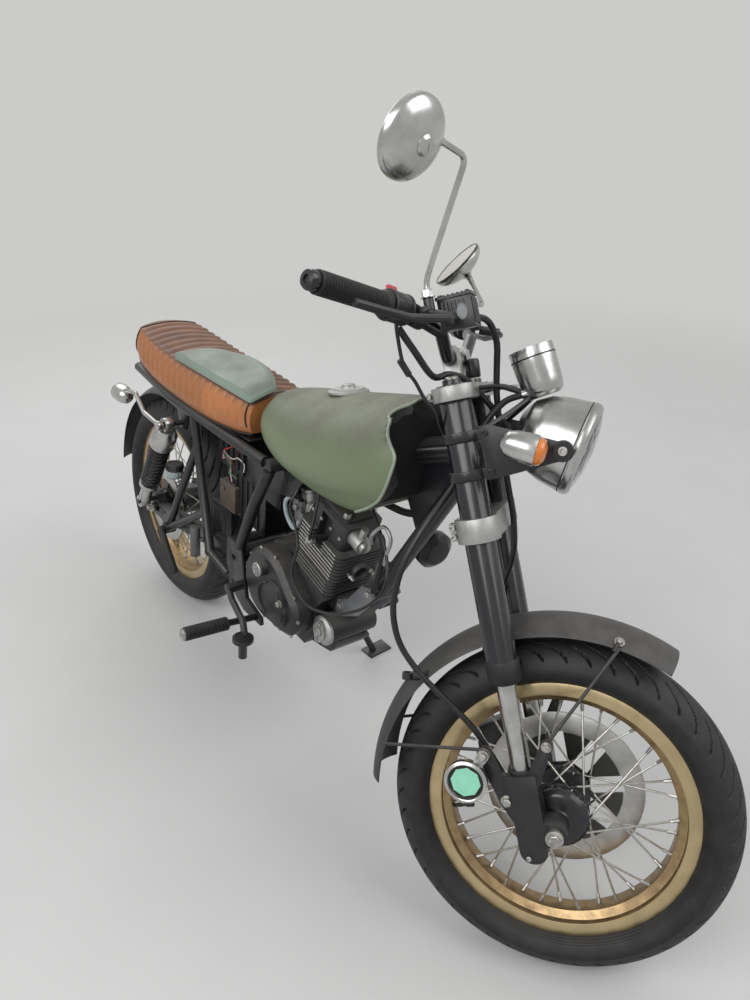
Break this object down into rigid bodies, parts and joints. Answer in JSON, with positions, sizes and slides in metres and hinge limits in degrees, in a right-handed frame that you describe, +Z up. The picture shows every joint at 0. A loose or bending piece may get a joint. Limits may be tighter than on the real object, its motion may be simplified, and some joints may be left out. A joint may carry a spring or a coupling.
{
  "type": "cafe racer motorcycle",
  "caption": "Small single-cylinder cafe racer motorcycle, leaning on its side stand, with a teardrop tank, quilted seat, wire wheels, round lamp and open engine.",
  "frame": {"origin": "on the ground, under the middle of the motorcycle's box", "axes": "+X the way it faces, +Y its left, +Z up; it leans to its left with the steering on the left stop"},
  "size_m": [2.036, 0.6798, 1.4313],
  "materials": {
    "tyre": "matt, dusty",
    "gold_rim": "satin gold anodised",
    "spokes_and_hub": "dull",
    "disc_steel": "lightly rusted",
    "black_metal": "semi-gloss black",
    "gloss_black": "gloss black",
    "chrome": "polished, dusty",
    "silver_alloy": "satin",
    "engine_black": "satin black, bright fin edges",
    "sage_paint": "matt sage green",
    "pale_sage_paint": "matt, dusty",
    "tan_leather": "quilted, worn",
    "dark_guard": "dusty dark grey",
    "black_plastic": "matt",
    "black_rubber": "matt",
    "red_lens": "gloss",
    "lamp_glass": "clear"
  },
  "bodies": {
    "chassis": {"main_frame": "black_metal", "seat_tubes": "black_metal", "rear_frame": "black_metal", "swingarm": "black_metal", "rear_axle": "disc_steel", "shock_dampers": "chrome", "shock_springs": "gloss_black", "drive_chain": "disc_steel", "engine_case": "engine_black", "engine_covers": "engine_black", "cylinder_barrel": "engine_black", "cylinder_head": "engine_black", "engine_mounts": "silver_alloy", "carburettor": "silver_alloy", "air_valve": "silver_alloy", "starter_cap": "silver_alloy", "airbox": "black_plastic", "fuel_tank": "sage_paint", "fuel_cap": "silver_alloy", "seat": "tan_leather", "side_covers": "pale_sage_paint", "rear_mudguard": "black_plastic", "tail_light": "red_lens", "rear_indicators": "chrome", "foot_pegs": "black_rubber", "foot_levers": "black_metal", "rear_brake": "black_metal", "horn": "black_plastic"},
    "fork": {"fork_feet": "black_metal", "fork_outer_tubes": "gloss_black", "fork_stanchions": "chrome", "steering_stem": "silver_alloy", "top_clamp": "silver_alloy", "front_axle": "disc_steel", "speedometer_drive": "black_metal", "front_caliper": "black_metal", "front_mudguard": "dark_guard", "permit_holder": "chrome", "handlebar": "black_metal", "grips": "black_rubber", "hand_controls": "black_metal", "mirrors": "chrome", "headlight_shell": "chrome", "headlight_glass": "lamp_glass", "headlight_ears": "black_metal", "gauge": "chrome", "front_indicators": "chrome", "speedometer_cable": "black_rubber", "front_brake_hose": "black_rubber"},
    "front_wheel": {"front_tyre": "tyre", "front_rim": "gold_rim", "front_hub": "spokes_and_hub", "front_brake_disc": "disc_steel"},
    "rear_wheel": {"rear_tyre": "tyre", "rear_rim": "gold_rim", "rear_hub": "spokes_and_hub", "rear_brake_disc": "disc_steel", "rear_sprocket": "disc_steel"},
    "side_stand": {"side_stand": "black_metal"}
  },
  "joints": [
    {"name": "steering", "type": "hinge", "parent": "chassis", "child": "fork", "pos_m": [0.45898, 0.02239, 0.81481], "axis": [-0.4303, 0.0944, 0.8977], "range_deg": [-70, 0]},
    {"name": "front_wheel_spin", "type": "hinge", "parent": "fork", "child": "front_wheel", "pos_m": [0.75732, -0.00125, 0.29196], "axis": [-0.5178, 0.7889, -0.3311], "continuous": true},
    {"name": "rear_wheel_spin", "type": "hinge", "parent": "chassis", "child": "rear_wheel", "pos_m": [-0.66178, -0.03071, 0.30964], "axis": [0, 0.9945, -0.1045], "continuous": true},
    {"name": "side_stand_fold", "type": "hinge", "parent": "chassis", "child": "side_stand", "pos_m": [-0.10186, 0.10213, 0.27248], "axis": [0.0017, 0.9335, 0.3585], "range_deg": [0, 85]}
  ]
}
